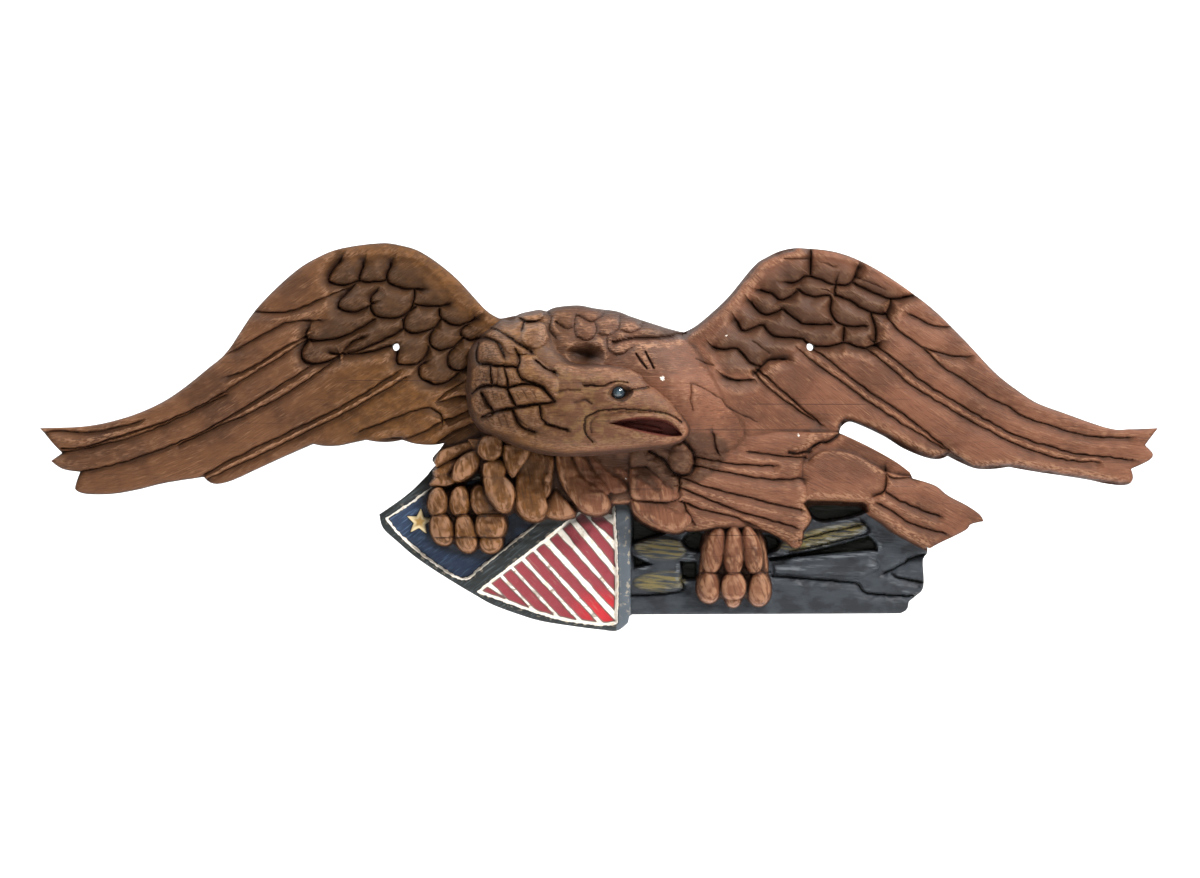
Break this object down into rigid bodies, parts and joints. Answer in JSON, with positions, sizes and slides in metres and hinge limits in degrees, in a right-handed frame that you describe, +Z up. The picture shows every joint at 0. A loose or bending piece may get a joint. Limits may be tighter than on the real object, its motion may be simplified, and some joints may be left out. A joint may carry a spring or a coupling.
{
  "type": "carved wooden eagle wall plaque",
  "caption": "Carved wooden eagle wall plaque with spread wings, head turned aside with open beak, striped shield and arrows under its feet, glass eye and flat back.",
  "frame": {"origin": "on the flat back that lies on the wall, midway between the wing tips and level with the two fixing holes", "axes": "+X to the viewer's right along the wingspan, +Y out of the flat back into the wall, +Z up"},
  "size_m": [1.116, 0.1283, 0.3865],
  "materials": {
    "stained_wood": "worn reddish-brown stain, with blue, red, white and slate paint on shield and arrows",
    "glass_eye": "glossy blue-grey glass bead"
  },
  "bodies": {
    "root": {"eagle_carving": "stained_wood", "eye": "glass_eye"}
  },
  "joints": []
}
